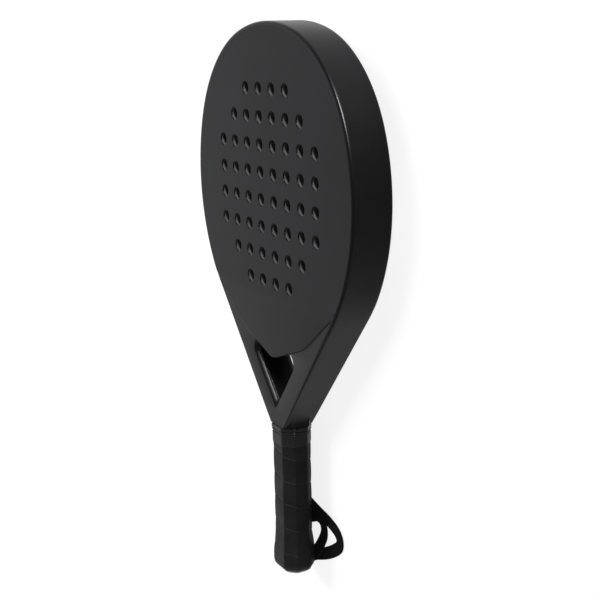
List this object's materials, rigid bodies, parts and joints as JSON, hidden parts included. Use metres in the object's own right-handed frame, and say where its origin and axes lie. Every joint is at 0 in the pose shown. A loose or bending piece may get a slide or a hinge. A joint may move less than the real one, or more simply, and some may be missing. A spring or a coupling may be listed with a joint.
{
  "type": "padel racket",
  "caption": "Padel racket: thick perforated foam-core head, open throat between two arms, octagonal wrapped grip and a loose wrist strap at the butt.",
  "frame": {"origin": "middle of the racket's length and width, on the surface that the back face lies on", "axes": "+X is the racket's right, +Y runs from the butt to the tip, +Z comes out of the front face, which looks up"},
  "size_m": [0.2532, 0.452, 0.034],
  "materials": {
    "frame_coat": "matte dark charcoal paint over fibre laminate",
    "face_coat": "matte dark charcoal paint over fibre laminate",
    "eva_foam": "closed-cell EVA foam, black",
    "bare_laminate": "unpainted fibre laminate",
    "pallet_foam": "hard moulded foam",
    "cap_plastic": "moulded dark grey plastic",
    "staple_wire": "bare steel wire",
    "cushion_grip": "ribbed cushion grip, black",
    "grip_wrap": "soft polyurethane wrap with a fine grain, black",
    "tape_film": "thin black finishing tape",
    "collar_rubber": "smooth black rubber with a soft gloss",
    "webbing": "black woven polyester webbing"
  },
  "bodies": {
    "root": {"frame_head": "frame_coat", "frame_arm_left": "frame_coat", "frame_arm_right": "frame_coat", "throat_bridge": "frame_coat", "front_face": "face_coat", "back_face": "face_coat", "eva_core": "eva_foam", "frame_stem_left": "bare_laminate", "frame_stem_right": "bare_laminate", "pallet_front": "pallet_foam", "pallet_back": "pallet_foam", "butt_cap": "cap_plastic", "end_plug": "cap_plastic", "cap_staples": "staple_wire", "base_grip": "cushion_grip", "overgrip": "grip_wrap", "finishing_tape": "tape_film", "collar": "collar_rubber", "wrist_strap": "webbing", "strap_stopper": "webbing"}
  },
  "joints": []
}
